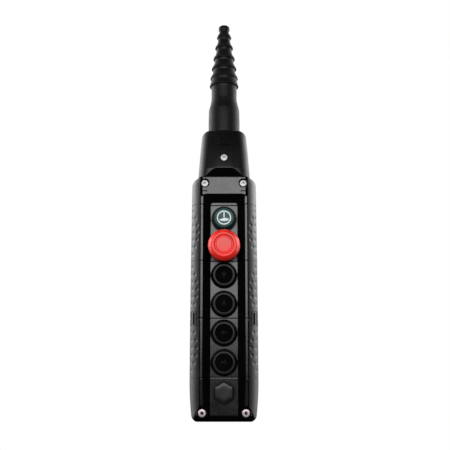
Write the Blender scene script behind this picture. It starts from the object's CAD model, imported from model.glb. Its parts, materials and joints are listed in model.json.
"""Looks of a hanging hoist control station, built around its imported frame.

Outlines are in millimetres in the frame of the part: +Z up the cable, -Y towards
the operator. Meshes are scaled to metres when they are made.
"""
import json
import math

import bmesh
import bpy
import numpy as np
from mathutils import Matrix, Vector


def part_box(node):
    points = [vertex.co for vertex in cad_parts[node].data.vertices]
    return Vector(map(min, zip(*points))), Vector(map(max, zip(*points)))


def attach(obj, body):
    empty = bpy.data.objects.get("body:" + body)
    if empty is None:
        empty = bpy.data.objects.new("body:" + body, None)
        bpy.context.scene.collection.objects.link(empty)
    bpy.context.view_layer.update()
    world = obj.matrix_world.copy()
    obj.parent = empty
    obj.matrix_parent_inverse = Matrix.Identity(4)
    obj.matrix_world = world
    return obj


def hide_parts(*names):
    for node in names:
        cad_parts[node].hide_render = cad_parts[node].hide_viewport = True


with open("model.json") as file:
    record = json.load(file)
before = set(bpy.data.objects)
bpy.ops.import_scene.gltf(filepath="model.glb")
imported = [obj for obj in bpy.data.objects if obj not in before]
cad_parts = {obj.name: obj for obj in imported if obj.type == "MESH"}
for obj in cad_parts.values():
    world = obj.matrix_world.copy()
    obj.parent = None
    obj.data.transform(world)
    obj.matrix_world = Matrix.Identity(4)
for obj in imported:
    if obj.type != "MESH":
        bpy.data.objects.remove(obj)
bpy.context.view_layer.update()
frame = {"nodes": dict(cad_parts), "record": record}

MM = 0.001


# ---------- sizes read from the frame ----------

def box_mm(node):
    low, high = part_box(node)
    return low / MM, high / MM


MODULES = ["front_module_upper", "front_module_middle", "front_module_lower"]
UNITS = ["start", "stop", "up", "down", "left", "right"]
DIRECTIONS = UNITS[2:]

module_low, module_high = box_mm(MODULES[0])
FRONT_Y = module_low.y
SKIRT_Y = module_high.y
COVER_HALF = module_high.x
PANEL_Y = box_mm("bezel_seals")[1].y
SEAL_Y = box_mm("bezel_seals")[0].y
PANEL_DEPTH = PANEL_Y - FRONT_Y
BARREL_END = box_mm("up_bezel")[1].y

head_low, head_high = box_mm("front_head")
BODY_TOP = box_mm("cable_collar")[0].z
shell_low, shell_high = box_mm("rear_shell_lower")
BODY_BOTTOM = shell_low.z
HALF_W = shell_high.x
BACK_Y = shell_high.y
SHELL_JOINT = (shell_high.z + box_mm("rear_shell_upper")[0].z) / 2
SEAM_PLAY = (head_low.z - module_high.z) / 2
SEAMS = [box_mm(m)[1].z + SEAM_PLAY for m in MODULES] + [box_mm(MODULES[-1])[0].z - SEAM_PLAY]


def middle(node):
    low, high = box_mm(node)
    return (low + high) / 2


def depths(node):
    """Front and back of a node, along Y."""
    low, high = box_mm(node)
    return low.y, high.y


UNIT_Z = {u: middle(u + "_contact_block").z for u in UNITS}
PLUG_Z = middle("plug_seal").z
COLLAR_TOP = box_mm("cable_collar")[1].z


# ---------- curves and meshes ----------

def corner_arc(before, at, after, radius, steps):
    """Points of a fillet of that radius at a corner of a flat outline."""
    p = Vector(at)
    to_a = Vector(before) - p
    to_b = Vector(after) - p
    a, b = to_a.normalized(), to_b.normalized()
    half = a.angle(b) / 2
    if radius <= 0 or half > math.radians(89):
        return [tuple(p)]
    reach = min(radius / math.tan(half), 0.49 * to_a.length, 0.49 * to_b.length)
    r = reach * math.tan(half)
    centre = p + (a + b).normalized() * r / math.sin(half)
    start, end = p + a * reach - centre, p + b * reach - centre
    turn = start.angle_signed(end)
    points = []
    for i in range(steps + 1):
        t = -turn * i / steps
        c, s = math.cos(t), math.sin(t)
        points.append((centre.x + start.x * c - start.y * s, centre.y + start.x * s + start.y * c))
    return points


def rounded(outline, steps=5, closed=False):
    """An outline of (x, y, radius) points with its corners filleted."""
    out = []
    n = len(outline)
    for i, (x, y, r) in enumerate(outline):
        if not closed and i in (0, n - 1):
            out.append((x, y))
            continue
        out += corner_arc(outline[i - 1][:2], (x, y), outline[(i + 1) % n][:2], r, steps)
    return out


def bridge(rings, loop=True, cap=(False, False), wrap=False):
    """Faces between rings of equal length, numbered one ring after the other."""
    n = len(rings[0])
    m = len(rings)
    faces = []
    for k in range(m if wrap else m - 1):
        a, b = k * n, ((k + 1) % m) * n
        for i in range(n if loop else n - 1):
            j = (i + 1) % n
            faces.append((a + i, a + j, b + j, b + i))
    if cap[0]:
        faces.append(tuple(range(n - 1, -1, -1)))
    if cap[1]:
        faces.append(tuple(range((m - 1) * n, m * n)))
    points = [p for ring in rings for p in ring]
    return points, faces


def lathe(outline, axis, centre, sides=96, closed=False):
    """A turned solid. outline holds (radius, place on the axis); centre is the axis' place."""
    turns = [2 * math.pi * i / sides for i in range(sides)]
    rings = []
    for r, h in outline:
        circle = [(centre[0] + r * math.cos(a), centre[1] + r * math.sin(a)) for a in turns]
        rings.append([(u, h, v) if axis == "Y" else (u, v, h) for u, v in circle])
    return bridge(rings, wrap=closed)


def joined(*parts):
    """Several (points, faces) as one."""
    points, faces = [], []
    for p, f in parts:
        base = len(points)
        points += p
        faces += [tuple(i + base for i in face) for face in f]
    return points, faces


def tidy(mesh, sharp):
    bm = bmesh.new()
    bm.from_mesh(mesh)
    bmesh.ops.remove_doubles(bm, verts=bm.verts, dist=2e-6)
    bmesh.ops.dissolve_degenerate(bm, edges=bm.edges, dist=1e-6)
    bmesh.ops.recalc_face_normals(bm, faces=bm.faces)
    bm.to_mesh(mesh)
    bm.free()
    mesh.polygons.foreach_set("use_smooth", [True] * len(mesh.polygons))
    mesh.set_sharp_from_angle(angle=math.radians(sharp))


def placed(name, data):
    """An object of the scene that shows a mesh, lamp or camera."""
    obj = bpy.data.objects.new(name, data)
    bpy.context.scene.collection.objects.link(obj)
    return obj


def solid(name, shape, sharp=32):
    """A mesh object from (points, faces) in millimetres."""
    points, faces = shape
    mesh = bpy.data.meshes.new(name)
    mesh.from_pydata([(x * MM, y * MM, z * MM) for x, y, z in points], [], faces)
    tidy(mesh, sharp)
    return placed(name, mesh)


def cut(obj, shape, sharp=32):
    """Takes the shape out of obj."""
    cutter = solid("cutter", shape)
    modifier = obj.modifiers.new("cut", "BOOLEAN")
    modifier.operation = "DIFFERENCE"
    modifier.solver = "EXACT"
    modifier.object = cutter
    graph = bpy.context.evaluated_depsgraph_get()
    mesh = bpy.data.meshes.new_from_object(obj.evaluated_get(graph))
    obj.modifiers.clear()
    obj.data = mesh
    bpy.data.objects.remove(cutter)
    tidy(mesh, sharp)
    return obj


def merged(name, parts, sharp=32):
    """Several mesh objects as one."""
    bm = bmesh.new()
    for part in parts:
        bm.from_mesh(part.data)
        bpy.data.objects.remove(part)
    mesh = bpy.data.meshes.new(name)
    bm.to_mesh(mesh)
    bm.free()
    tidy(mesh, sharp)
    return placed(name, mesh)


def piece(obj, material, body, slot, *nodes):
    """Gives obj its material, its body and the CAD nodes that it stands for."""
    obj.data.materials.clear()
    obj.data.materials.append(material)
    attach(obj, body)
    if nodes:
        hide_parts(*nodes)


def smooth_min(a, b, k):
    h = np.clip(0.5 + 0.5 * (b - a) / k, 0, 1)
    return b * (1 - h) + a * h - k * h * (1 - h)


def smooth_max(a, b, k):
    return -smooth_min(-a, -b, k)


def ease(t):
    t = np.clip(t, 0, 1)
    return t * t * (3 - 2 * t)


def round_over(distance, radius):
    """How far a surface has dropped away, at that distance from an edge of that radius."""
    d = np.clip(radius - distance, 0, radius)
    return radius - np.sqrt(np.maximum(radius * radius - d * d, 0))


def arc_depth(radius, degrees):
    """Depth of the start of an arc of that radius, up to that angle."""
    return radius * (1 - math.cos(math.radians(degrees)))


def stations(low, high, step, marks=(), edge=0.0):
    """Grid lines from low to high: even, with extra lines at marks and close to both ends."""
    even = np.linspace(low, high, max(2, int(round((high - low) / step)) + 1))
    near = [arc_depth(edge, a) for a in (0, 25, 45, 65, 90)] if edge else []
    extra = list(marks) + [low + e for e in near] + [high - e for e in near]
    extra = sorted(e for e in extra if low <= e <= high)
    kept = [v for v in even if all(abs(v - e) > step * 0.45 for e in extra)]
    return np.array(sorted(set([round(float(v), 5) for v in kept + extra + [low, high]])))


# ---------- materials ----------

class Nodes:
    """Short way to add and join the nodes of a material or a world."""

    def __init__(self, owner):
        owner.use_nodes = True
        self.owner = owner
        self.tree = owner.node_tree
        self.shader = self.tree.nodes.get("Principled BSDF")
        self.coordinates = self.add("ShaderNodeTexCoord").outputs
        self.place = self.coordinates["Object"]

    def add(self, kind, **settings):
        node = self.tree.nodes.new(kind)
        for key, value in settings.items():
            if key in node.inputs:
                node.inputs[key].default_value = value
            else:
                setattr(node, key, value)
        return node

    def link(self, output, socket):
        self.tree.links.new(output, socket)

    def noise(self, size_mm, detail=3.0, roughness=0.55):
        node = self.add("ShaderNodeTexNoise", Scale=1 / (size_mm * MM), Detail=detail, Roughness=roughness)
        self.link(self.place, node.inputs["Vector"])
        return node.outputs["Fac"]

    def ramp(self, value, low=0.3, high=0.7, low_to=0.0, high_to=1.0):
        node = self.add("ShaderNodeMapRange")
        for key, number in (("From Min", low), ("From Max", high), ("To Min", low_to), ("To Max", high_to)):
            node.inputs[key].default_value = number
        self.link(value, node.inputs["Value"])
        return node.outputs["Result"]

    def mix(self, factor, first, second):
        node = self.add("ShaderNodeMix", data_type="RGBA")
        self.link(factor, node.inputs["Factor"])
        for value, socket in ((first, node.inputs[6]), (second, node.inputs[7])):
            if isinstance(value, tuple):
                socket.default_value = (*value, 1)
            else:
                self.link(value, socket)
        return node.outputs[2]

    def bump(self, height, strength, distance_mm, before=None):
        node = self.add("ShaderNodeBump", Strength=strength, Distance=distance_mm * MM)
        self.link(height, node.inputs["Height"])
        if before is not None:
            self.link(before, node.inputs["Normal"])
        return node.outputs["Normal"]

    def edges(self, low, high):
        """1 on convex edges, 0 elsewhere."""
        geometry = self.add("ShaderNodeNewGeometry")
        return self.ramp(geometry.outputs["Pointiness"], low, high)

    def facing(self, axis, low, high, low_to, high_to):
        """A level that follows one component of the face's direction."""
        geometry = self.add("ShaderNodeNewGeometry")
        split = self.add("ShaderNodeSeparateXYZ")
        self.link(geometry.outputs["True Normal"], split.inputs[0])
        return self.ramp(split.outputs[axis], low, high, low_to, high_to)

    def show(self, seen, felt, output):
        """Gives one shader to the camera and another to every other ray."""
        path = self.add("ShaderNodeLightPath")
        mixer = self.add("ShaderNodeMixShader")
        self.link(path.outputs["Is Camera Ray"], mixer.inputs[0])
        self.link(felt.outputs[0], mixer.inputs[1])
        self.link(seen.outputs[0], mixer.inputs[2])
        self.link(mixer.outputs[0], self.tree.nodes[output].inputs["Surface"])


def moulded(name, colour, worn, rough, grain_mm=0.5, grain=0.25, specular=0.5, wear=0.5):
    """Moulded plastic: fine grain, cloudy colour and gloss, edges polished by handling.

    specular is a level, or what Nodes.facing takes where it depends on the way that a face looks.
    """
    n = Nodes(bpy.data.materials.new(name))
    clouds = n.noise(22, 4)
    specks = n.noise(1.6, 2)
    darker = tuple(c * 0.8 for c in colour)
    lighter = tuple(c * 1.25 for c in colour)
    shade = n.mix(n.ramp(clouds), darker, lighter)
    scuffs = n.add("ShaderNodeMath", operation="MULTIPLY")
    n.link(n.edges(0.505, 0.56), scuffs.inputs[0])
    n.link(n.ramp(n.noise(3.5, 5), 0.42, 0.62, 0.0, wear), scuffs.inputs[1])
    n.link(n.mix(scuffs.outputs[0], shade, worn), n.shader.inputs["Base Color"])
    gloss = n.add("ShaderNodeMath", operation="ADD")
    n.link(n.ramp(clouds, 0.3, 0.7, rough - 0.04, rough + 0.05), gloss.inputs[0])
    n.link(n.ramp(specks, 0.3, 0.7, -0.03, 0.03), gloss.inputs[1])
    n.link(gloss.outputs[0], n.shader.inputs["Roughness"])
    coarse = n.bump(specks, grain * 0.5, 0.06)
    n.link(n.bump(n.noise(grain_mm, 3, 0.6), grain, 0.05, coarse), n.shader.inputs["Normal"])
    level = n.shader.inputs["Specular IOR Level"]
    if isinstance(specular, tuple):
        n.link(n.facing(*specular), level)
    else:
        level.default_value = specular
    return n.owner


def rubber_material():
    n = Nodes(bpy.data.materials.new("sleeve_rubber"))
    dust = n.noise(9, 5)
    n.link(n.mix(n.ramp(dust, 0.35), (0.0028, 0.003, 0.0031), (0.0055, 0.006, 0.006)),
           n.shader.inputs["Base Color"])
    n.link(n.ramp(n.noise(4, 4), 0.3, 0.7, 0.40, 0.50), n.shader.inputs["Roughness"])
    n.link(n.bump(n.noise(0.8, 4), 0.3, 0.08), n.shader.inputs["Normal"])
    n.shader.inputs["Specular IOR Level"].default_value = 0.16
    return n.owner


def metal_material(name, colour, rough, tarnish, grimy_y=None):
    """Plated metal; beyond the depth grimy_y, in millimetres, its recess is dark with grime."""
    n = Nodes(bpy.data.materials.new(name))
    tone = n.mix(n.ramp(n.noise(3, 4), 0.35), colour, tarnish)
    if grimy_y is not None:
        split = n.add("ShaderNodeSeparateXYZ")
        n.link(n.place, split.inputs[0])
        grime = n.ramp(split.outputs["Y"], grimy_y * MM, (grimy_y + 0.3) * MM)
        tone = n.mix(grime, tone, (0.03, 0.022, 0.024))
    n.link(tone, n.shader.inputs["Base Color"])
    n.link(n.ramp(n.noise(0.7, 3), 0.3, 0.7, rough - 0.06, rough + 0.08), n.shader.inputs["Roughness"])
    n.link(n.bump(n.noise(0.35, 3), 0.15, 0.03), n.shader.inputs["Normal"])
    n.shader.inputs["Metallic"].default_value = 1.0
    return n.owner


# Faces turned to the front are glossy, and the walls between them are textured and dull
GLOSS_IN_FRONT = ("Y", -0.985, -0.93, 0.5, 0.0)
# Dull where a face turns down
GLOSS_ABOVE = ("Z", -0.5, -0.25, 0.0, 0.27)

HOUSING = moulded("housing_plastic", (0.0042, 0.0047, 0.0045), (0.010, 0.011, 0.010), 0.34, 0.45, 0.3, 0.5)
COVER = moulded("cover_plastic", (0.0024, 0.0025, 0.0029), (0.007, 0.007, 0.008), 0.26, 0.5, 0.13,
                GLOSS_IN_FRONT)
CLIP = moulded("clip_plastic", (0.0035, 0.0038, 0.0037), (0.009, 0.010, 0.009), 0.36, 0.45, 0.2, 0.35)
COLLAR = moulded("collar_plastic", (0.0026, 0.0028, 0.0030), (0.007, 0.007, 0.008), 0.34, 0.6, 0.25,
                 GLOSS_ABOVE)
BEZEL = moulded("bezel_plastic", (0.0030, 0.0031, 0.0032), (0.007, 0.007, 0.007), 0.40, 0.5, 0.15, 0.2)
BUTTON = moulded("button_plastic", (0.0028, 0.0029, 0.0030), (0.004, 0.004, 0.004), 0.46, 0.6, 0.1, 0.0)
ARROW = moulded("arrow_plastic", (0.0042, 0.0044, 0.0047), (0.008, 0.008, 0.008), 0.38, 0.6, 0.1, 0.03)
PLUG = moulded("plug_plastic", (0.0045, 0.0047, 0.005), (0.012, 0.012, 0.012), 0.34, 0.5, 0.2, 0.42)
STOP_RED = moulded("stop_red", (0.80, 0.018, 0.010), (0.74, 0.04, 0.03), 0.40, 0.7, 0.1, 0.5, 0.3)
START_GREEN = moulded("start_green", (0.007, 0.038, 0.033), (0.02, 0.07, 0.06), 0.36, 0.7, 0.12, 0.26, 0.35)
MARK = moulded("mark_print", (0.62, 0.76, 0.76), (0.7, 0.8, 0.8), 0.5, 0.6, 0.1, 0.35, 0.2)
RUBBER = rubber_material()
SCREW = metal_material("screw_zinc", (0.26, 0.26, 0.26), 0.40, (0.19, 0.19, 0.20))

BY_SLOT = {
    "housing": HOUSING, "cover": COVER, "collar": COLLAR, "rubber": RUBBER, "screw": SCREW, "plug": PLUG,
    "bezel": BEZEL, "stop_red": STOP_RED, "start_green": START_GREEN, "button_black": BUTTON,
    "inner_plastic": moulded("inner_plastic", (0.22, 0.23, 0.24), (0.3, 0.3, 0.3), 0.5, 0.6, 0.2),
    "white_plastic": moulded("white_plastic", (0.72, 0.72, 0.69), (0.8, 0.8, 0.78), 0.4, 0.6, 0.15),
    "nut": metal_material("nut_plating", (0.62, 0.60, 0.55), 0.34, (0.48, 0.46, 0.42)),
    "spring": metal_material("spring_wire", (0.66, 0.66, 0.67), 0.28, (0.5, 0.5, 0.52)),
}
for subpart in frame["record"]["subparts"]:
    node = frame["nodes"][subpart["node"]]
    node.data.materials.clear()
    node.data.materials.append(BY_SLOT[subpart["material_slot"]])


# ---------- front cover ----------

MOUTH_HALF = 25.8
PANEL_HALF = 16.9
RIM_EDGE = 0.5
RIM_BLEND = 0.4
PANEL_BLEND = 0.6
SEAM_EDGE = 0.45
COVER_WALL = 2.5
WALL_RUN = MOUTH_HALF - PANEL_HALF
UNIT_HOLE_R = 11.2
PLUG_HOLE_R = 13.4


def side_wall(x):
    """Depth of the channel's side walls, as planes that run on past the rim and the panel."""
    return (MOUTH_HALF - np.abs(x)) * PANEL_DEPTH / WALL_RUN


def channel(wall):
    """Depth of the channel below the rims, from the depth of its walls."""
    return smooth_min(smooth_max(wall, 0.0, RIM_BLEND), PANEL_DEPTH, PANEL_BLEND)


def plate(name, xs, zs, front, half=lambda z: COVER_HALF + 0 * z, back_y=SKIRT_Y):
    """A cover piece: its front surface front(x, z), skirts and an inner face.

    xs run from -1 to 1 across the piece, whose half-width at a height is half(z).
    """
    s, z = np.meshgrid(xs, zs)
    x = s * half(z)
    inner_x = s * (half(z) - COVER_WALL)
    inner_z = zs[0] + COVER_WALL + (z - zs[0]) * (1 - 2 * COVER_WALL / (zs[-1] - zs[0]))
    outer = np.stack([x, front(x, z), z], -1)
    inner = np.stack([inner_x, front(inner_x, inner_z) + COVER_WALL, inner_z], -1)
    rows, cols = s.shape
    count = rows * cols
    points = [tuple(p) for p in outer.reshape(-1, 3)] + [tuple(p) for p in inner.reshape(-1, 3)]
    faces = []
    for r in range(rows - 1):
        for c in range(cols - 1):
            a = r * cols + c
            b = a + count
            faces += [(a, a + 1, a + cols + 1, a + cols), (b, b + cols, b + cols + 1, b + 1)]
    rim = list(range(cols)) + [r * cols + cols - 1 for r in range(1, rows)]
    rim += [(rows - 1) * cols + c for c in range(cols - 2, -1, -1)]
    rim += [r * cols for r in range(rows - 2, 0, -1)]
    outer_back = len(points)
    points += [(points[i][0], back_y, points[i][2]) for i in rim]
    inner_back = len(points)
    points += [(points[i + count][0], back_y, points[i + count][2]) for i in rim]
    n = len(rim)
    for k in range(n):
        m = (k + 1) % n
        faces.append((rim[k], outer_back + k, outer_back + m, rim[m]))
        faces.append((outer_back + k, inner_back + k, inner_back + m, outer_back + m))
        faces.append((inner_back + k, rim[k] + count, rim[m] + count, inner_back + m))
    return solid(name, (points, faces))


def edge_drop(x, z, half, z_low, z_high, radius):
    """Rounding along the outer edges of a cover piece."""
    to_side = round_over(half - np.abs(x), radius)
    to_end = round_over(np.minimum(z - z_low, z_high - z), radius)
    return np.maximum(to_side, to_end)


def cover_stations(step, extra=()):
    """Grid lines across the cover, closer at the bends of the channel."""
    bends = [PANEL_HALF + d for d in (-0.4, -0.15, 0.15, 0.4)]
    bends += [MOUTH_HALF + d for d in (-0.5, -0.25, 0, 0.25, 0.5)]
    marks = [side * m for m in (*extra, *bends) for side in (-1, 1)]
    return stations(-COVER_HALF, COVER_HALF, step, marks, RIM_EDGE) / COVER_HALF


def round_hole(z, radius):
    """Cutter for a hole through the cover."""
    return lathe([(0, FRONT_Y - 1), (radius, FRONT_Y - 1), (radius, 0), (0, 0)], "Y", (0, z), 72)


def module(name, z_low, z_high):
    def front(x, z):
        return FRONT_Y + channel(side_wall(x)) + edge_drop(x, z, COVER_HALF, z_low, z_high, SEAM_EDGE)

    ends = (z_low + 0.9, z_low + 1.5, z_high - 0.9, z_high - 1.5)
    obj = plate(name, cover_stations(2.0), stations(z_low, z_high, 8, ends, SEAM_EDGE), front)
    holes = [round_hole(z, UNIT_HOLE_R) for z in UNIT_Z.values() if z_low < z < z_high]
    return cut(obj, joined(*holes))


for name in MODULES:
    low, high = box_mm(name)
    piece(module("module_" + name.split("_")[-1], low.z, high.z), COVER, "root", "cover", name)


# Screw places, from the CAD screws' own boxes
screws_low, screws_high = box_mm("cover_screws")
SCREW_R = 4.7
FOOT_SCREW = (screws_high.x - SCREW_R, screws_low.z + SCREW_R)
TOP_SCREW = (23.9, screws_high.z - SCREW_R)
FOOT_FACE = FRONT_Y + 4.5
# Height of a screw's head, and how far it is sunk below its face
HEAD_HEIGHT = 3.2
SCREW_SUNK = 1.6
SEAT_R = SCREW_R + 0.9
SHANK_HOLE_R = 2.2


def counterbores(x, z, face):
    """Cutter for sunk screw seats on both sides, with a small chamfer at the face."""
    mouth = SEAT_R + 0.3
    seat = face + SCREW_SUNK + HEAD_HEIGHT
    outline = [(0, face - 3), (mouth, face - 3), (mouth, face + 0.05), (SEAT_R, face + 0.35),
               (SEAT_R, seat), (SHANK_HOLE_R, seat), (SHANK_HOLE_R, 0), (0, 0)]
    return joined(*[lathe(outline, "Y", (s * x, z), 64) for s in (-1, 1)])


CHANNEL_TOP = BODY_TOP - 22
CHANNEL_TOP_RUN = 9.4
CHANNEL_CORNER = 4.5
HEAD_PLATE_HALF = 26.8
HEAD_SIDE_SLOPE = 5.0
HEAD_NOTCH_Z = BODY_TOP - 24.0
DASH_Z = BODY_TOP - 18.3
DASH_IN = 20.6


def level_groove(x, z, centre_z, half, depth, fade):
    """Depth of a level groove on both sides of the head, outwards of DASH_IN."""
    return depth * np.clip(1 - ((z - centre_z) / half) ** 2, 0, 1) * ease((np.abs(x) - DASH_IN) / fade)


def head_edge(x, z):
    """Extra depth of the head's plate: steep sides, a notch above each rim and two engraved dashes."""
    beside = smooth_max((np.abs(x) - HEAD_PLATE_HALF) * HEAD_SIDE_SLOPE, 0.0, 0.3)
    above = ease((z - HEAD_NOTCH_Z) / 1.2)
    notch = level_groove(x, z, HEAD_NOTCH_Z, 0.9, 2.2, 1.5)
    dash = level_groove(x, z, DASH_Z, 0.6, 0.5, 0.8)
    return np.maximum(beside * above, notch) + dash


def head_front(x, z):
    top_wall = (CHANNEL_TOP - z) * PANEL_DEPTH / CHANNEL_TOP_RUN
    depth = channel(smooth_min(side_wall(x), top_wall, CHANNEL_CORNER))
    depth = smooth_max(depth, head_edge(x, z), 0.3)
    return FRONT_Y + depth + edge_drop(x, z, COVER_HALF, head_low.z, head_high.z, RIM_EDGE)


head_marks = [h + d for h in (CHANNEL_TOP, CHANNEL_TOP - CHANNEL_TOP_RUN, HEAD_NOTCH_Z, DASH_Z)
              for d in (-0.6, -0.3, 0, 0.3, 0.6)]
head_columns = cover_stations(0.8, (HEAD_PLATE_HALF - 0.2, HEAD_PLATE_HALF + 0.2))
head_rows = stations(head_low.z, head_high.z, 0.8, head_marks, RIM_EDGE)
head = plate("cover_head", head_columns, head_rows, head_front)
cut(head, counterbores(*TOP_SCREW, FRONT_Y))
piece(head, COVER, "root", "cover", "front_head")

FOOT_TOP = SEAMS[3] - SEAM_PLAY
FOOT_LEAN = 1.6
FLARE_TOP = BODY_BOTTOM + 18.5
FLARE_RUN = 10.5
FLARE_OUT = 6.1
FLARE_CORNER = 4.0
CHIN_H = 7.2
CHIN_BACK = -14.0


def flare_half(z):
    """Half-width of the foot: it flares out round its screws and has round corners."""
    run = (FLARE_TOP - z) / FLARE_RUN
    out = FLARE_OUT * smooth_min(smooth_max(run, 0.0, 0.15), 1.0, 0.3)
    return COVER_HALF + out - round_over(z - BODY_BOTTOM, FLARE_CORNER)


def foot_front(x, z):
    """Front of the foot: its rims lean back and then step down to the screws; a chin runs below them."""
    lean_back = FOOT_LEAN * np.clip((SEAMS[3] - z) / (SEAMS[3] - FLARE_TOP), 0, 1)
    rim = FRONT_Y + lean_back + (FOOT_FACE - FRONT_Y - FOOT_LEAN) * ease((FLARE_TOP + 2 - z) / 7)
    surface = smooth_min(smooth_max(FRONT_Y + side_wall(x), rim, RIM_BLEND), PANEL_Y, PANEL_BLEND)
    above = (z - BODY_BOTTOM) / CHIN_H
    surface = surface + (CHIN_BACK - surface) * smooth_max(1 - above, 0.0, 0.12)
    return surface + edge_drop(x, z, flare_half(z), BODY_BOTTOM - 1, FOOT_TOP, SEAM_EDGE)


foot_rows = stations(BODY_BOTTOM, FOOT_TOP, 0.8, (), SEAM_EDGE)
foot = plate("cover_foot", cover_stations(0.8), foot_rows, foot_front, flare_half, SKIRT_Y - 4)
cut(foot, joined(counterbores(*FOOT_SCREW, FOOT_FACE), round_hole(PLUG_Z, PLUG_HOLE_R)))
piece(foot, COVER, "root", "cover", "front_foot")


# ---------- rear shells ----------

FRONT_R = 23.0
EDGE_R = 12.6
CORNER_X = HALF_W - FRONT_R
JOINT_GAP = 0.7
LIP_ANGLE = math.asin((COVER_HALF + JOINT_GAP - CORNER_X) / FRONT_R)
FRONT_CENTRE_Y = FRONT_Y + 0.2 + FRONT_R * math.cos(LIP_ANGLE)
SHELL_WALL = 2.8
SHOULDER_R = 8.5
FOOT_R = 6.5
BACK_R = 9.0
TOP_NARROW = 1.5
FOOT_NARROW = 2.3


def half_width(z):
    taper = HALF_W - TOP_NARROW * np.clip((z - SEAMS[3]) / (BODY_TOP - SEAMS[3]), 0, 1) ** 2.2
    drawn = FOOT_NARROW * np.clip((SEAMS[3] - z) / 44, 0, 1.2) ** 2.2
    return taper - drawn - round_over(BODY_TOP - z, SHOULDER_R) - round_over(z - BODY_BOTTOM, FOOT_R)


def back_depth(z):
    return BACK_Y - round_over(BODY_TOP - z, BACK_R) - round_over(z - BODY_BOTTOM, BACK_R)


SIDE_LENGTH = BACK_Y - EDGE_R - FRONT_CENTRE_Y
FRONT_ARC = FRONT_R * (math.pi / 2 - LIP_ANGLE)
MID_RUN = FRONT_ARC + SIDE_LENGTH / 2
HALF_MODULE = 35
DIMPLE_ROWS = 4
DIMPLE_PITCH = 9.0
DIMPLE_R = 2.9
DIMPLE_DEPTH = 0.6
# Run of the first dimple of a row, and how fast it grows with the square of the height
DIMPLE_FIRST = 4.17
DIMPLE_BOW = 0.0129
SEAM_DEPTH = 0.55
SEAM_HALF = 0.3
CLIP_LOW, CLIP_HIGH = box_mm("housing_clips")
CLIP_IN_X = HALF_W - 8.3
CLIP_POCKET = 2.4
CLIP_SINK = 0.8
CLIP_INNER = 2.3
CLIP_CLEAR_Z = 12
CLIP_CLEAR_RUN = 24
SLOTS = [(HALF_W - 6.2, HALF_W - 4.0), (HALF_W - 2.3, HALF_W - 1.2)]
# The lip's inner edge, as (across, inwards) steps from the start of the skin
LIP_EDGE = ((0, 2.6), (0, 0.5), (0.03, 0.25), (0.1, 0.08))
# Runs of the section's points on the lip's edge and on the back, which carry no dimples
LIP_RUN = -9
BACK_RUN = 999


def dimple_centres():
    """(run round the side, height) of each grip dimple: nested bows in every module, clear of the clip."""
    places = []
    for top in SEAMS[:3]:
        for i in range(-3, 4):
            dz = i * DIMPLE_PITCH
            z = top - HALF_MODULE + dz
            first = DIMPLE_FIRST + DIMPLE_BOW * dz * dz
            for row in range(DIMPLE_ROWS + 1):
                run = first + (MID_RUN - first) * row / DIMPLE_ROWS
                places.append((run, z))
                if row < DIMPLE_ROWS:
                    places.append((2 * MID_RUN - run, z))
    return [(run, z) for run, z in places if abs(z - SHELL_JOINT) >= CLIP_CLEAR_Z or run >= CLIP_CLEAR_RUN]


DIMPLES = dimple_centres()


def pattern_depth(points, run, z):
    """How deep the dimples, seam grooves and clip pocket are at a section's points."""
    depth = np.zeros(len(points))
    for dimple_run, dimple_z in DIMPLES:
        if abs(z - dimple_z) < DIMPLE_R:
            off = ((run - dimple_run) ** 2 + (z - dimple_z) ** 2) / DIMPLE_R ** 2
            depth = np.maximum(depth, DIMPLE_DEPTH * np.clip(1 - off, 0, 1) ** 1.5)
    outside = run > LIP_RUN
    if min(abs(z - s) for s in SEAMS) < SEAM_HALF:
        depth = np.maximum(depth, np.where(outside, SEAM_DEPTH, 0.0))
    if CLIP_LOW.z - 0.2 < z < CLIP_HIGH.z + 0.2:
        pocket = (points[:, 0] > CLIP_IN_X) & (points[:, 1] < CLIP_HIGH.y) & outside
        depth = np.where(pocket, CLIP_POCKET, depth)
    return depth


def section(z, inset, pattern):
    """Half of a shell's plan section, from the lip beside the cover to the middle of the back.

    pattern adds dimples, seam grooves and the clip pocket.
    """
    w = float(half_width(z)) - inset
    b = float(back_depth(z)) - inset
    lip = float(flare_half(z)) + JOINT_GAP
    rx, ry = w - CORNER_X, FRONT_R - inset
    start = math.asin(min(0.97, (lip + 0.2 - CORNER_X) / rx))
    first_y = FRONT_CENTRE_Y - ry * math.cos(start)
    rb = max(2.5, EDGE_R - inset - (HALF_W - inset - w) * 0.7)
    side_end = b - rb
    # Each row holds x, y, the outward normal there and the run round the side
    rows = [(lip + dx, first_y + dy, 0, 0, LIP_RUN) for dx, dy in LIP_EDGE]
    for t in np.linspace(0, 1, 31):
        a = start + (math.pi / 2 - start) * t
        rows.append((CORNER_X + rx * math.sin(a), FRONT_CENTRE_Y - ry * math.cos(a), math.sin(a),
                     -math.cos(a), FRONT_R * (a - LIP_ANGLE)))
    for t in np.linspace(0, 1, 38)[1:]:
        rows.append((w, FRONT_CENTRE_Y + (side_end - FRONT_CENTRE_Y) * t, 1, 0, FRONT_ARC + SIDE_LENGTH * t))
    for a in np.linspace(0, math.pi / 2, 11)[1:]:
        c, s = math.cos(a), math.sin(a)
        rows.append((w - rb + rb * c, side_end + rb * s, c, s, BACK_RUN))
    rows += [((w - rb) * t, b, 0, 1, BACK_RUN) for t in np.linspace(1, 0, 7)[1:]]
    table = np.array(rows)
    points, normals, run = table[:, :2], table[:, 2:4], table[:, 4]
    if pattern:
        points = points - normals * pattern_depth(points, run, z)[:, None]
    return points


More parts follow.
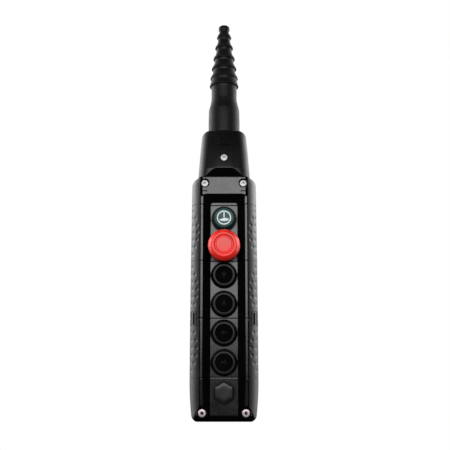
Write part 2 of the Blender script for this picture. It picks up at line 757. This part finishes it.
def shell_ring(z, z_inner):
    """Closed plan section, from lip to lip outside and back inside, and how many points are outside."""
    outer = section(z, 0.0, True)
    inner = section(z_inner, SHELL_WALL, False)
    skin = [(x, y, z) for x, y in outer] + [(-x, y, z) for x, y in outer[-2::-1]]
    lining = [(x, y, z_inner) for x, y in inner] + [(-x, y, z_inner) for x, y in inner[-2::-1]]
    return skin + lining[::-1], len(skin)


def shell_heights(joint, end):
    """Heights of a shell's rings, closer at the seams, the clip and the rounded end."""
    marks = [s + d for s in SEAMS for d in (-0.5, -0.28, 0.28, 0.5)]
    marks += [CLIP_LOW.z - 0.3, CLIP_LOW.z - 0.15, CLIP_HIGH.z + 0.15, CLIP_HIGH.z + 0.3]
    radii = (BACK_R, SHOULDER_R if end > joint else FOOT_R)
    from_end = [0.03] + [arc_depth(r, a) for a in (8, 20, 34, 48, 62, 74, 84) for r in radii]
    inwards = 1 if end < joint else -1
    marks += [end + inwards * d for d in from_end]
    heights = stations(min(joint, end), max(joint, end), 0.85, marks)
    return heights if end > joint else heights[::-1]


def shell(joint, end):
    """A rear shell, open at the joint and closed at its other end."""
    heights = shell_heights(joint, end)
    wall = SHELL_WALL if end > joint else -SHELL_WALL
    rings = []
    for z in heights:
        z_inner = joint + (z - joint) * (end - wall - joint) / (end - joint)
        ring, skin_count = shell_ring(z, z_inner)
        rings.append(ring)
    n = len(rings[0])
    points, faces = bridge(rings)
    faces += [(i, i + 1, n - 2 - i, n - 1 - i) for i in range(skin_count - 1)]
    last = (len(rings) - 1) * n
    ledge = SKIRT_Y + 1.4
    lip = rings[-1][0][0]
    corners = len(points)
    points += [(-lip, ledge, end), (lip, ledge, end), (-lip, ledge, end - wall), (lip, ledge, end - wall)]
    skin = list(range(last, last + skin_count))
    lining = list(range(last + n - 1, last + skin_count - 1, -1))
    faces.append(tuple(skin + [corners, corners + 1]))
    faces.append(tuple(reversed(lining + [corners + 2, corners + 3])))
    faces.append((corners, corners + 2, corners + 3, corners + 1))
    faces.append((skin[0], corners + 1, corners + 3, lining[0]))
    faces.append((skin[-1], lining[-1], corners + 2, corners))
    return points, faces


NECK_R = 21.0
NECK_BORE_R = NECK_R - 3.2
NECK_LOW = BODY_TOP - 1
NECK_TOP = box_mm("sleeve_ring")[0].z
upper = shell(SHELL_JOINT + 0.15, BODY_TOP)
neck_outline = [(NECK_BORE_R, NECK_LOW, 0.3), (NECK_R, NECK_LOW, 0.3), (NECK_R, NECK_TOP, 0.3),
                (NECK_BORE_R, NECK_TOP, 0.3)]
neck = lathe(rounded(neck_outline, 2, True), "Z", (0, 0), 64, True)
piece(solid("shell_upper", joined(upper, neck)), HOUSING, "root", "housing", "rear_shell_upper")
lower = shell(SHELL_JOINT - 0.15, BODY_BOTTOM)
piece(solid("shell_lower", lower), HOUSING, "root", "housing", "rear_shell_lower")


def side_clip(side):
    """One snap clip, a little below the skin of the shells."""
    middle_z = (CLIP_LOW.z + CLIP_HIGH.z) / 2
    outer = section(middle_z, CLIP_SINK, False)
    inner = section(middle_z, CLIP_INNER, False)
    kept = [i for i in range(len(outer)) if outer[i][0] > CLIP_IN_X and outer[i][1] < CLIP_HIGH.y and i > 3]
    outline = [outer[i] for i in kept] + [inner[i] for i in reversed(kept)]
    rings = [[(side * x, y, z) for x, y in outline] for z in (CLIP_LOW.z, CLIP_HIGH.z)]
    return bridge(rings, cap=(True, True))


def slot_cut(side, x_low, x_high):
    """Cutter for a finger slot of a clip."""
    near, far = side * x_low, side * x_high
    front, back = FRONT_Y - 2, CLIP_HIGH.y + 1
    rings = [[(near, front, z), (far, front, z), (far, back, z), (near, back, z)]
             for z in (CLIP_LOW.z + 1.2, CLIP_HIGH.z - 1.2)]
    return bridge(rings, cap=(True, True))


clips = []
for side in (-1, 1):
    clip = solid("clip", side_clip(side))
    for slot in SLOTS:
        cut(clip, slot_cut(side, *slot))
    clips.append(clip)
piece(merged("side_clips", clips), CLIP, "root", "housing", "housing_clips")


# ---------- cable collar ----------

COLLAR_LOW_HALF = 32.6
COLLAR_TOP_HALF = 28.6
COLLAR_TAPER_RUN = 56.7
COLLAR_R = 7.0
COLLAR_CORNER = 11
COLLAR_TOP_EDGE = 1.6
COLLAR_BACK = box_mm("cable_collar")[1].y
# The face leans back by LEAN, and by LEAN_MORE times the height again; it bows across by x squared / BOW
LEAN = 0.14
LEAN_MORE = 0.0025
BOW = 130
LIP_Z = BODY_TOP + 9.3
LIP_Y = box_mm("cable_collar")[0].y + 0.1
LIP_BAND = 1.2
CHIN_SLOPE = 1.165
CHIN_RUN_OUT = 14
CHIN_BLEND = 0.4
SLEEVE_SEAT_R = 20.6
COLLAR_SCREW_Z = middle("collar_screw").z
SINK_R = 5.4
TICKS_R = 7.4
sink_y = box_mm("collar_screw")[0].y


def leaning(z, x=99.0):
    """Depth of the middle of the collar's face: it leans back, more and more towards the sleeve.

    A short band just above the lip stands upright.
    """
    h = np.clip(z - LIP_Z - LIP_BAND * ease((13 - np.abs(x)) / 3), 0, None)
    return LIP_Y + LEAN * h + LEAN_MORE * h * h + round_over(COLLAR_TOP - z, COLLAR_TOP_EDGE)


def collar_bow(x):
    return x * x / BOW


def collar_chin(x, z):
    """The undercut below the lip; it runs out towards the sides of the collar."""
    return LIP_Y + collar_bow(x) + (LIP_Z - z) * CHIN_SLOPE - CHIN_RUN_OUT * ease((np.abs(x) - 9) / 20)


def collar_front(x, z):
    """Front of the collar: a bowed, leaning face over an undercut chin."""
    return smooth_max(leaning(z, x) + collar_bow(x), collar_chin(x, z), CHIN_BLEND)


def collar_ring(z):
    """Plan outline of the collar at a height."""
    taper = min(1, (COLLAR_TOP - COLLAR_R - z) / COLLAR_TAPER_RUN)
    side = COLLAR_TOP_HALF + (COLLAR_LOW_HALF - COLLAR_TOP_HALF) * taper
    drop = float(round_over(COLLAR_TOP - z, COLLAR_R))
    w, back = side - drop, COLLAR_BACK - drop
    r = COLLAR_CORNER - drop
    face_y = float(leaning(z))
    half = [(x, float(leaning(z, x)) + collar_bow(x)) for x in np.linspace(0, w - r, 20)[:-1]]
    for a in np.linspace(0, math.pi / 2, 22):
        x = w - r + r * math.sin(a)
        half.append((x, face_y + collar_bow(x) + r - r * math.cos(a)))
    side_y = half[-1][1]
    half += [(w, side_y + (back - side_y - r) * t) for t in np.linspace(0, 1, 9)[1:-1]]
    half += [(w - r + r * math.cos(a), back - r + r * math.sin(a)) for a in np.linspace(0, math.pi / 2, 14)]
    half += [((w - r) * t, back) for t in np.linspace(1, 0, 7)[1:]]
    shaped = []
    for x, y in half:
        if y < 0:
            y = float(smooth_max(np.float64(y), np.float64(collar_chin(x, z)), CHIN_BLEND))
        shaped.append((x, y, z))
    return shaped + [(-x, y, z) for x, y, z in shaped[-2:0:-1]]


def circle_ring(r, z, like):
    """A round ring whose points face those of another ring."""
    turns = [math.atan2(y, x) for x, y, _ in like]
    return [(r * math.cos(a), r * math.sin(a), z) for a in turns]


def collar():
    """The collar: its outside rings, then the seat and the bore that take the sleeve and the neck."""
    bends = (0, 12, 24, 36, 48, 60, 72, 82, 90)
    marks = [COLLAR_TOP - arc_depth(r, a) for a in bends for r in (COLLAR_R, COLLAR_TOP_EDGE)]
    marks += [LIP_Z + d for d in (-0.6, -0.35, -0.1, 0.15, 0.4, 0.7, 1.1, 1.5, 1.9)]
    rings = [collar_ring(z) for z in stations(BODY_TOP, COLLAR_TOP, 1.0, marks)]
    top = rings[-1]
    bore = [(SLEEVE_SEAT_R, COLLAR_TOP), (SLEEVE_SEAT_R, COLLAR_TOP - 3.1), (22.7, COLLAR_TOP - 3.2),
            (NECK_R + 0.2, BODY_TOP)]
    rings += [circle_ring(r, z, top) for r, z in bore]
    return solid("collar", bridge(rings, wrap=True), 40)


collar_piece = collar()
sink = [(0, LIP_Y - 4), (SINK_R, LIP_Y - 4), (SINK_R, sink_y + 3.4), (0, sink_y + 3.4)]
cut(collar_piece, lathe(sink, "Y", (0, COLLAR_SCREW_Z), 64), 40)
piece(collar_piece, COLLAR, "root", "collar", "cable_collar")


def mean_point(outline):
    """Mean x and z of an outline's points."""
    return sum(p[0] for p in outline) / len(outline), sum(p[1] for p in outline) / len(outline)


def raised_plate(outline, front_y, back_y, edge=0.3, lean=0.0):
    """A plate lying against the front: a closed (x, z) outline with an eased front edge.

    lean tilts it back: it is how far the depth changes with each millimetre of height.
    """
    middle_x, middle_z = mean_point(outline)

    def at(y, inset):
        ring = []
        for x, z in outline:
            away = Vector((middle_x - x, middle_z - z))
            away = away.normalized() * inset if away.length > 1e-6 else away
            ring.append((x + away.x, y + lean * (z - middle_z), z + away.y))
        return ring

    return bridge([at(back_y, 0), at(front_y + edge, 0), at(front_y + edge * 0.3, edge * 0.35),
                   at(front_y, edge)], cap=(True, True))


def rounded_rect(half_x, half_z, radius, centre_z, centre_x=0.0):
    corners = [(-half_x, -half_z), (half_x, -half_z), (half_x, half_z), (-half_x, half_z)]
    outline = rounded([(x, z, radius) for x, z in corners], 6, True)
    return [(x + centre_x, z + centre_z) for x, z in outline]


def collar_marks():
    """The plain raised pad, and short moulded ticks round the lock screw."""
    def on_face(outline, height, edge):
        x, z = mean_point(outline)
        y = float(collar_front(np.float64(x), z))
        lean = float(leaning(z + 1) - leaning(z - 1)) / 2
        return raised_plate(outline, y - height, y + 2, edge, lean)

    parts = [on_face(rounded_rect(8.0, 5.4, 2.5, COLLAR_TOP - 16.4), 0.8, 0.6)]
    for i in range(12):
        a = math.radians(15 + 30 * i)
        tick = rounded_rect(0.5, 0.5, 0.4, COLLAR_SCREW_Z + TICKS_R * math.sin(a), TICKS_R * math.cos(a))
        parts.append(on_face(tick, 0.35, 0.2))
    return joined(*parts)


piece(solid("collar_pad", collar_marks()), COLLAR, "root", "collar")


# ---------- rubber sleeve ----------

# Lip radius and depth of each skirt, and the radius of the neck below it
SKIRTS = [(9.7, 17, 7.9), (12, 31.9, 9.9), (14.3, 47.3, 12.3),
          (16.4, 61.4, 14.4), (18.2, 74.9, 16.8), (19, 85.6, 16.6)]
TIP_NECK = 6.3


def sleeve_outline():
    outline = [(2.8, 0, 0.6), (5.8, 0, 1.2), (7.3, -1.6, 1.2), (7.3, -5.2, 1.4), (TIP_NECK, -7.6, 1.5),
               (TIP_NECK, -9.6, 2)]
    above = TIP_NECK
    for lip, depth, neck_r in SKIRTS:
        z = -depth
        outline += [(above + (lip - above) * 0.34, z + 5.6, 2.5), (lip - 0.7, z + 2.9, 2.4),
                    (lip, z + 0.5, 0.5), (lip - 0.3, z - 0.3, 0.35), (lip - 1.1, z - 0.2, 0.3),
                    (neck_r + 0.3, z - 0.7, 0.5), (neck_r, z - 3.6, 2)]
        above = neck_r
    outline += [(16.5, -104, 20), (18, -111.5, 16), (19.9, -118.3, 18), (20.3, -134, 18),
                (20.3, COLLAR_TOP - 3.4, 0), (22.4, COLLAR_TOP - 3.5, 0.3), (22.4, COLLAR_TOP - 7.6, 0.3),
                (16.6, COLLAR_TOP - 7.6, 0.3), (15.6, COLLAR_TOP, 0), (13.2, -108, 0), (13.2, -92, 0),
                (4.8, -22, 0), (2.8, -12, 0)]
    return rounded(outline, 4, True)


sleeve = solid("rubber_sleeve", lathe(sleeve_outline(), "Z", (0, 0), 128, True), 50)
piece(sleeve, RUBBER, "root", "rubber", "cable_sleeve")


# ---------- control units ----------

BARREL_R = 11.1
PLUNGER_BORE_R = 8.35
STEM_BORE_R = 9.55
CAP_BORE_R = 10.35
CAP_STEP_Y = -15.6


def unit_ring(unit, node, visible, bore):
    """A bezel or collar: its visible outline, then its barrel through the panel, down to that bore.

    Where the visible part has a wider bore for a cap, the barrel ends in a step below the cap.
    """
    barrel = [(BARREL_R, SEAL_Y, 0.1), (BARREL_R, BARREL_END, 0.3), (bore, BARREL_END, 0.2)]
    if visible[0][0] > bore:
        barrel.append((bore, CAP_STEP_Y, 0.2))
    outline = rounded(visible + barrel, 5, True)
    obj = solid(unit + "_ring", lathe(outline, "Y", (0, UNIT_Z[unit]), 128, True), 40)
    piece(obj, BEZEL, "root", "bezel", node)


def direction_bezel(unit):
    crest = depths(unit + "_bezel")[0]
    visible = [(CAP_BORE_R, CAP_STEP_Y, 0.2), (CAP_BORE_R, crest + 0.3, 0.5), (11.0, crest, 0.6),
               (13.2, crest + 0.1, 1.4), (14.9, crest + 2.6, 2.4), (16.4, SEAL_Y, 0.2)]
    unit_ring(unit, unit + "_bezel", visible, PLUNGER_BORE_R)


def arrow(direction, centre_z, size):
    """A plain arrow outline pointing up, down, left or right."""
    shape = [(0, 1), (0.86, 0.08), (0.36, 0.08), (0.36, -0.86), (-0.36, -0.86), (-0.36, 0.08), (-0.86, 0.08)]
    turn = {"up": 0, "left": 90, "down": 180, "right": 270}[direction]
    c, s = math.cos(math.radians(turn)), math.sin(math.radians(turn))
    outline = [((x * c - z * s) * size, centre_z + (x * s + z * c) * size) for x, z in shape]
    return rounded([(x, z, 0.3) for x, z in outline], 3, True)


def direction_cap(unit):
    """A direction button's dished cap, and the arrow that is set into it."""
    z = UNIT_Z[unit]
    front, back = depths(unit + "_cap")
    outline = rounded([(0, front + 0.6, 0), (7.0, front + 0.55, 3), (8.8, front, 1.2),
                       (9.95, front + 0.15, 0.9), (9.95, back, 0.3), (0, back, 0)], 6)
    obj = solid(unit + "_button_cap", lathe(outline, "Y", (0, z), 96), 40)
    piece(obj, BUTTON, unit + "_button", "button_black", unit + "_cap")
    mark = solid(unit + "_arrow", raised_plate(arrow(unit, z, 4.6), front + 0.3, front + 1.2, 0.15))
    piece(mark, ARROW, unit + "_button", "button_black")


for unit in DIRECTIONS:
    direction_bezel(unit)
    direction_cap(unit)


def start_unit():
    z = UNIT_Z["start"]
    crest = depths("start_bezel")[0]
    front, back = depths("start_cap")
    seat = SEAL_Y - 1
    visible = [(CAP_BORE_R, CAP_STEP_Y, 0.2), (CAP_BORE_R, seat, 0.2), (13.95, seat, 0.2),
               (13.95, crest + 0.2, 0.4), (14.7, crest, 0.5), (15.3, crest + 1.2, 0.8), (15.4, SEAL_Y, 0.2)]
    unit_ring("start", "start_bezel", visible, PLUNGER_BORE_R)
    cap = [(0, front + 0.35, 0), (10.2, front + 0.35, 1.5), (11.2, front + 0.05, 1.0),
           (13.0, front + 1.2, 2.2), (13.6, front + 4.2, 1.5), (13.6, seat - 4.5, 0.3),
           (10, seat - 4.5, 0.3), (10, back, 0.3), (0, back, 0)]
    obj = solid("start_button_cap", lathe(rounded(cap, 6), "Y", (0, z), 128), 40)
    piece(obj, START_GREEN, "start_button", "start_green", "start_cap")
    start_mark(z, front + 0.35)


def start_mark(z, face):
    """A plain start symbol: a ring, a bar, and a filled bow below."""
    top, bottom = face - 0.16, face + 0.3
    ring = lathe([(7.3, top), (8.8, top), (8.8, bottom), (7.3, bottom)], "Y", (0, z), 96, True)
    bar = raised_plate(rounded_rect(0.75, 3.3, 0.3, z + 3.6), top, bottom, 0.05)
    bow = [(-5.9 + 11.8 * t, z - 0.9 + 1.1 * math.sin(t * math.pi * 1.5 - 1.2) - 0.4)
           for t in np.linspace(0, 1, 17)]
    bow += [(5.4 - 10.8 * t, z - 3.3 - 1.2 * math.sin(t * math.pi)) for t in np.linspace(0, 1, 13)]
    mark = joined(ring, bar, raised_plate(bow, top, bottom, 0.05))
    piece(solid("start_symbol", mark), MARK, "start_button", "start_green")


start_unit()


# Half of the hexagon's width across flats
PLUG_HALF_FLATS = 11.6
PLUG_BASE_R = 11.3


def blanking_plug():
    """The plug of the spare place: a hexagon head, chamfered in front, on a round base."""
    front, back = depths("blanking_plug")
    corner_r = PLUG_HALF_FLATS / math.cos(math.radians(30))

    def hexagon(scale, y):
        ring = []
        for i in range(6):
            for t in (0.04, 0.35, 0.65, 0.96):
                a, b = math.radians(90 + 60 * i), math.radians(150 + 60 * i)
                x = math.cos(a) * (1 - t) + math.cos(b) * t
                z = math.sin(a) * (1 - t) + math.sin(b) * t
                ring.append((x * corner_r * scale, y, PLUG_Z + z * corner_r * scale))
        return ring

    chamfer = ((1.0, front + 1.5), (0.98, front + 1.0), (0.92, front + 0.55), (0.82, front + 0.1),
               (0.78, front), (0.5, front))
    rings = [hexagon(1.0, SEAL_Y - 0.4)] + [hexagon(scale, y) for scale, y in chamfer]
    outline = [(0, SEAL_Y - 2.2, 0), (PLUG_BASE_R, SEAL_Y - 2.2, 0.7), (PLUG_BASE_R, SEAL_Y, 0.1),
               (BARREL_R, SEAL_Y, 0), (BARREL_R, back, 0.3), (0, back, 0)]
    base = lathe(rounded(outline), "Y", (0, PLUG_Z), 96)
    return solid("spare_place_plug", joined(bridge(rings, cap=(True, True)), base), 35)


piece(blanking_plug(), PLUG, "root", "plug", "blanking_plug")


# ---------- emergency stop ----------

def stop_unit():
    crest = depths("stop_collar")[0]
    visible = [(STEM_BORE_R, crest, 0.3), (13.4, crest, 1.2), (14.8, crest + 1.8, 1.2), (15.4, SEAL_Y, 0.2)]
    unit_ring("stop", "stop_collar", visible, STEM_BORE_R)
    front, under = depths("stop_head")
    stem = depths("stop_stem")[0]
    middle_face = [(0, front + 0.75, 0), (9.3, front + 0.95, 2), (10.1, front + 1.7, 0.5),
                   (10.9, front + 1.7, 0.5)]
    crown = [(11.8, front + 0.5, 0.6), (12.5, front + 0.05, 0.6), (14.3, front, 1.5),
             (15.6, front + 0.9, 2.0), (18.7, front + 5.4, 5), (19.6, front + 9.0, 4),
             (19.3, under - 2.0, 2), (17.8, under, 1.2)]
    socket = [(12, under, 0.5), (12, stem + 3, 0.3), (9.25, stem + 3, 0.2), (9.25, stem - 0.1, 0),
              (0, stem - 0.1, 0)]
    outline = rounded(middle_face + crown + socket, 7)
    obj = solid("stop_mushroom", lathe(outline, "Y", (0, UNIT_Z["stop"]), 160), 40)
    piece(obj, STOP_RED, "stop_turn", "stop_red", "stop_head")


stop_unit()


# ---------- screws ----------

SHANK_R = 1.95
CROSS_REACH = 2.0
CROSS_DEPTH = 2.4
CROSS_TAPER = 0.6


def screw_body(face, radius, x, z, shank_end):
    """A screw with a low, nearly flat head."""
    under = face + HEAD_HEIGHT
    outline = [(0, face, 0), (radius * 0.5, face + 0.02, 4), (radius - 0.6, face + 0.12, 1.0),
               (radius, face + 0.7, 0.6), (radius, under, 0.15), (SHANK_R, under, 0.2),
               (SHANK_R, shank_end, 0.5), (0, shank_end, 0)]
    return lathe(rounded(outline), "Y", (x, z), 48)


def cross_recess(face, x, z, width):
    """Cutters for the cross: two tapered bars, width being half of a bar's own."""
    def ring(dx, dz, y):
        return [(x + u * dx, y, z + v * dz) for u, v in ((-1, -1), (1, -1), (1, 1), (-1, 1))]

    arms = []
    for dx, dz in ((CROSS_REACH, width), (width, CROSS_REACH)):
        rings = [ring(dx, dz, face - 1), ring(dx * CROSS_TAPER, dz * CROSS_TAPER, face + CROSS_DEPTH)]
        arms.append(bridge(rings, cap=(True, True)))
    return arms


def screws(name, places, radius, material, *nodes, recess=0.85):
    """Screws as one piece. places holds (x, z, face, end of the shank)."""
    parts = []
    for x, z, face, end in places:
        screw = solid("screw", screw_body(face, radius, x, z, end))
        for arm in cross_recess(face, x, z, recess):
            cut(screw, arm)
        parts.append(screw)
    piece(merged(name, parts), material, "root", "screw", *nodes)


def both_sides(place, face, length):
    """Places of a left and a right screw, sunk below the face of the cover."""
    x, z = place
    return [(side * x, z, face + SCREW_SUNK, face + length) for side in (-1, 1)]


head_places = both_sides(TOP_SCREW, FRONT_Y, 36.5)
foot_places = both_sides(FOOT_SCREW, FOOT_FACE, 31.5)
# The foot's screws catch more light, with grime in their crosses
FOOT_ZINC = metal_material("foot_screw_zinc", (0.60, 0.50, 0.52), 0.42, (0.44, 0.36, 0.38),
                           FOOT_FACE + SCREW_SUNK + 0.2)
screws("head_screws", head_places, SCREW_R, SCREW, "cover_screws")
screws("foot_screws", foot_places, SCREW_R + 0.4, FOOT_ZINC, recess=1.5)
screws("lock_screw", [(0, COLLAR_SCREW_Z, sink_y + 0.3, sink_y + 16.5)], SCREW_R, SCREW, "collar_screw")


# ---------- camera, light and floor ----------

CAMERA_PLACE = (0.0012, -0.830, -0.41635)
CAMERA_PITCH = 9.95
camera_data = bpy.data.cameras.new("camera")
camera_data.lens = 52.8
camera_data.sensor_width = 36.0
camera = placed("camera", camera_data)
camera.location = CAMERA_PLACE
camera.rotation_euler = (math.radians(90 + CAMERA_PITCH), 0, 0)
bpy.context.scene.camera = camera


SOFTBOX_PLACE = (-0.17, -1.25, -0.03)
SOFTBOX_SIZE = (1.56, 0.66)
SOFTBOX_WATTS = 18


def softbox():
    """A wide lamp in front of the station, facing straight back."""
    data = bpy.data.lights.new("softbox", "AREA")
    data.shape = "RECTANGLE"
    data.size, data.size_y = SOFTBOX_SIZE
    data.energy = SOFTBOX_WATTS
    lamp = placed("softbox", data)
    lamp.location = SOFTBOX_PLACE
    lamp.rotation_euler = Vector((0, 1, 0)).to_track_quat("-Z", "Y").to_euler()


softbox()

WORLD_STRENGTH = 5.8


def studio_world():
    """White backdrop to the camera; to the object, bright to the sides and behind, above the horizon."""
    world = bpy.data.worlds.new("studio")
    bpy.context.scene.world = world
    n = Nodes(world)
    split = n.add("ShaderNodeSeparateXYZ")
    n.link(n.coordinates["Generated"], split.inputs[0])

    def curve(axis, stops):
        """Light against one direction cosine, through (cosine, level) stops."""
        ramp = n.add("ShaderNodeValToRGB")
        n.link(n.ramp(split.outputs[axis], -1, 1), ramp.inputs["Fac"])
        elements = ramp.color_ramp.elements
        spots = [(cosine + 1) / 2 for cosine, _ in stops]
        elements[0].position, elements[1].position = spots[0], spots[-1]
        for spot in spots[1:-1]:
            elements.new(spot)
        for element, (_, level) in zip(elements, stops):
            element.color = (level, level, level, 1)
        return ramp.outputs["Color"]

    across = curve("Y", ((-0.55, 0.0), (-0.3, 0.12), (-0.1, 0.34), (0.1, 0.6), (0.35, 0.9), (0.6, 0.85),
                         (0.8, 0.42), (1.0, 0.1)))
    up = curve("Z", ((0.0, 0.377), (0.105, 0.57), (0.19, 0.83), (0.24, 1.0), (0.35, 1.0), (0.7, 0.115)))
    strength = n.add("ShaderNodeMath", operation="MULTIPLY")
    strength.inputs[1].default_value = WORLD_STRENGTH
    n.link(across, strength.inputs[0])
    felt = n.tree.nodes["Background"]
    n.link(strength.outputs[0], felt.inputs["Strength"])
    n.link(up, felt.inputs["Color"])
    n.show(n.add("ShaderNodeBackground", Color=(1, 1, 1, 1)), felt, "World Output")


studio_world()


FLOOR_Z = BODY_BOTTOM - 430
FLOOR_R = 1900


def studio_floor():
    """A pale round floor, far enough below that the front view doesn't meet it.

    It is dim to every ray but the camera's, so that little light comes up from it.
    """
    n = Nodes(bpy.data.materials.new("floor_paper"))
    n.link(n.mix(n.ramp(n.noise(60, 4)), (0.74, 0.74, 0.74), (0.78, 0.78, 0.78)),
           n.shader.inputs["Base Color"])
    n.shader.inputs["Roughness"].default_value = 0.9
    n.show(n.shader, n.add("ShaderNodeBsdfDiffuse", Color=(0.12, 0.12, 0.12, 1)), "Material Output")
    outline = [(0, FLOOR_Z), (FLOOR_R - 20, FLOOR_Z), (FLOOR_R, FLOOR_Z - 4), (FLOOR_R, FLOOR_Z - 12),
               (0, FLOOR_Z - 12)]
    floor = solid("floor", lathe(outline, "Z", (0, 0), 96))
    floor.data.materials.append(n.owner)


studio_floor()
bpy.context.scene.view_settings.view_transform = "Standard"
